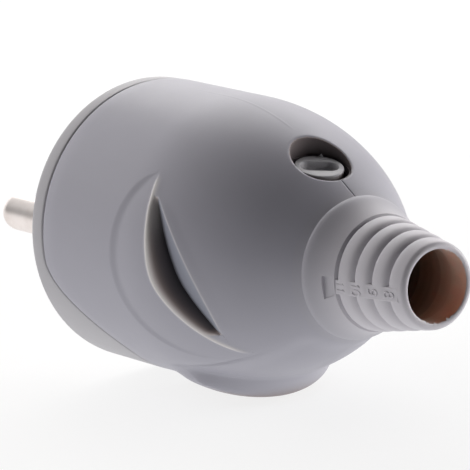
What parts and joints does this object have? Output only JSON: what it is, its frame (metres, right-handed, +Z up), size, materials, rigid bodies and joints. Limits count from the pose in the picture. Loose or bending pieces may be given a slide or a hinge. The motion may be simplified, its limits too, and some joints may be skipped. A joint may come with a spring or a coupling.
{
  "type": "rewirable mains plug",
  "caption": "Rewirable mains plug with two round pins, an earth socket, a finger-grip casing, a cut-to-size cord sleeve and a screw-down cord clamp.",
  "frame": {"origin": "centre of the flat engagement face, on the plug's axis", "axes": "+X along the plug's axis towards the cord sleeve, so the pins point to -X; +Z up through the lock screw and the earth hole; +Y completes the frame, through the line pin"},
  "size_m": [0.08, 0.0374, 0.0382],
  "materials": {
    "casing_grey": "satin moulded",
    "insert_grey": "satin moulded",
    "lock_grey": "satin moulded",
    "carrier_white": "matt moulded",
    "pin_nickel": "nickel plated, polished",
    "terminal_brass": "machined",
    "screw_steel": "zinc plated"
  },
  "bodies": {
    "casing": {"housing": "casing_grey", "lock_bush": "terminal_brass"},
    "insert": {"front_insert": "insert_grey", "contact_carrier": "carrier_white", "carrier_screw_line": "screw_steel", "carrier_screw_neutral": "screw_steel", "line_pin": "pin_nickel", "neutral_pin": "pin_nickel", "line_terminal": "terminal_brass", "neutral_terminal": "terminal_brass", "earth_socket": "terminal_brass", "earth_spring_front": "screw_steel", "earth_spring_rear": "screw_steel", "earth_strap": "terminal_brass", "earth_terminal": "terminal_brass"},
    "saddle": {"clamp_saddle": "carrier_white", "saddle_clip": "screw_steel"},
    "lock_screw": {"lock_screw": "lock_grey"},
    "line_screw": {"line_terminal_screw": "screw_steel"},
    "neutral_screw": {"neutral_terminal_screw": "screw_steel"},
    "earth_screw": {"earth_terminal_screw": "screw_steel"}
  },
  "joints": [
    {"name": "insert_slide", "type": "slide", "parent": "casing", "child": "insert", "axis": [-1, 0, 0], "range_m": [0, 0.045]},
    {"name": "clamp_slide", "type": "slide", "parent": "casing", "child": "saddle", "axis": [0.2672, 0, 0.9636], "range_m": [0, 0.0024]},
    {"name": "lock_screw_turn", "type": "hinge", "parent": "saddle", "child": "lock_screw", "pos_m": [0.03853, 0, 0.01183], "axis": [0.2672, 0, 0.9636], "range_deg": [0, 866]},
    {"name": "line_screw_turn", "type": "hinge", "parent": "insert", "child": "line_screw", "pos_m": [0.01342, 0.0095, 0.006], "axis": [0, 0, 1], "range_deg": [0, 1080]},
    {"name": "neutral_screw_turn", "type": "hinge", "parent": "insert", "child": "neutral_screw", "pos_m": [0.01342, -0.0095, 0.006], "axis": [0, 0, 1], "range_deg": [0, 1080]},
    {"name": "earth_screw_turn", "type": "hinge", "parent": "insert", "child": "earth_screw", "pos_m": [0.022, 0, 0.0124], "axis": [0, 0, 1], "range_deg": [0, 1080]}
  ],
  "couplings": [
    {"joint": "lock_screw_turn", "follows": "clamp_slide", "rad_per_m": 6283.2}
  ]
}
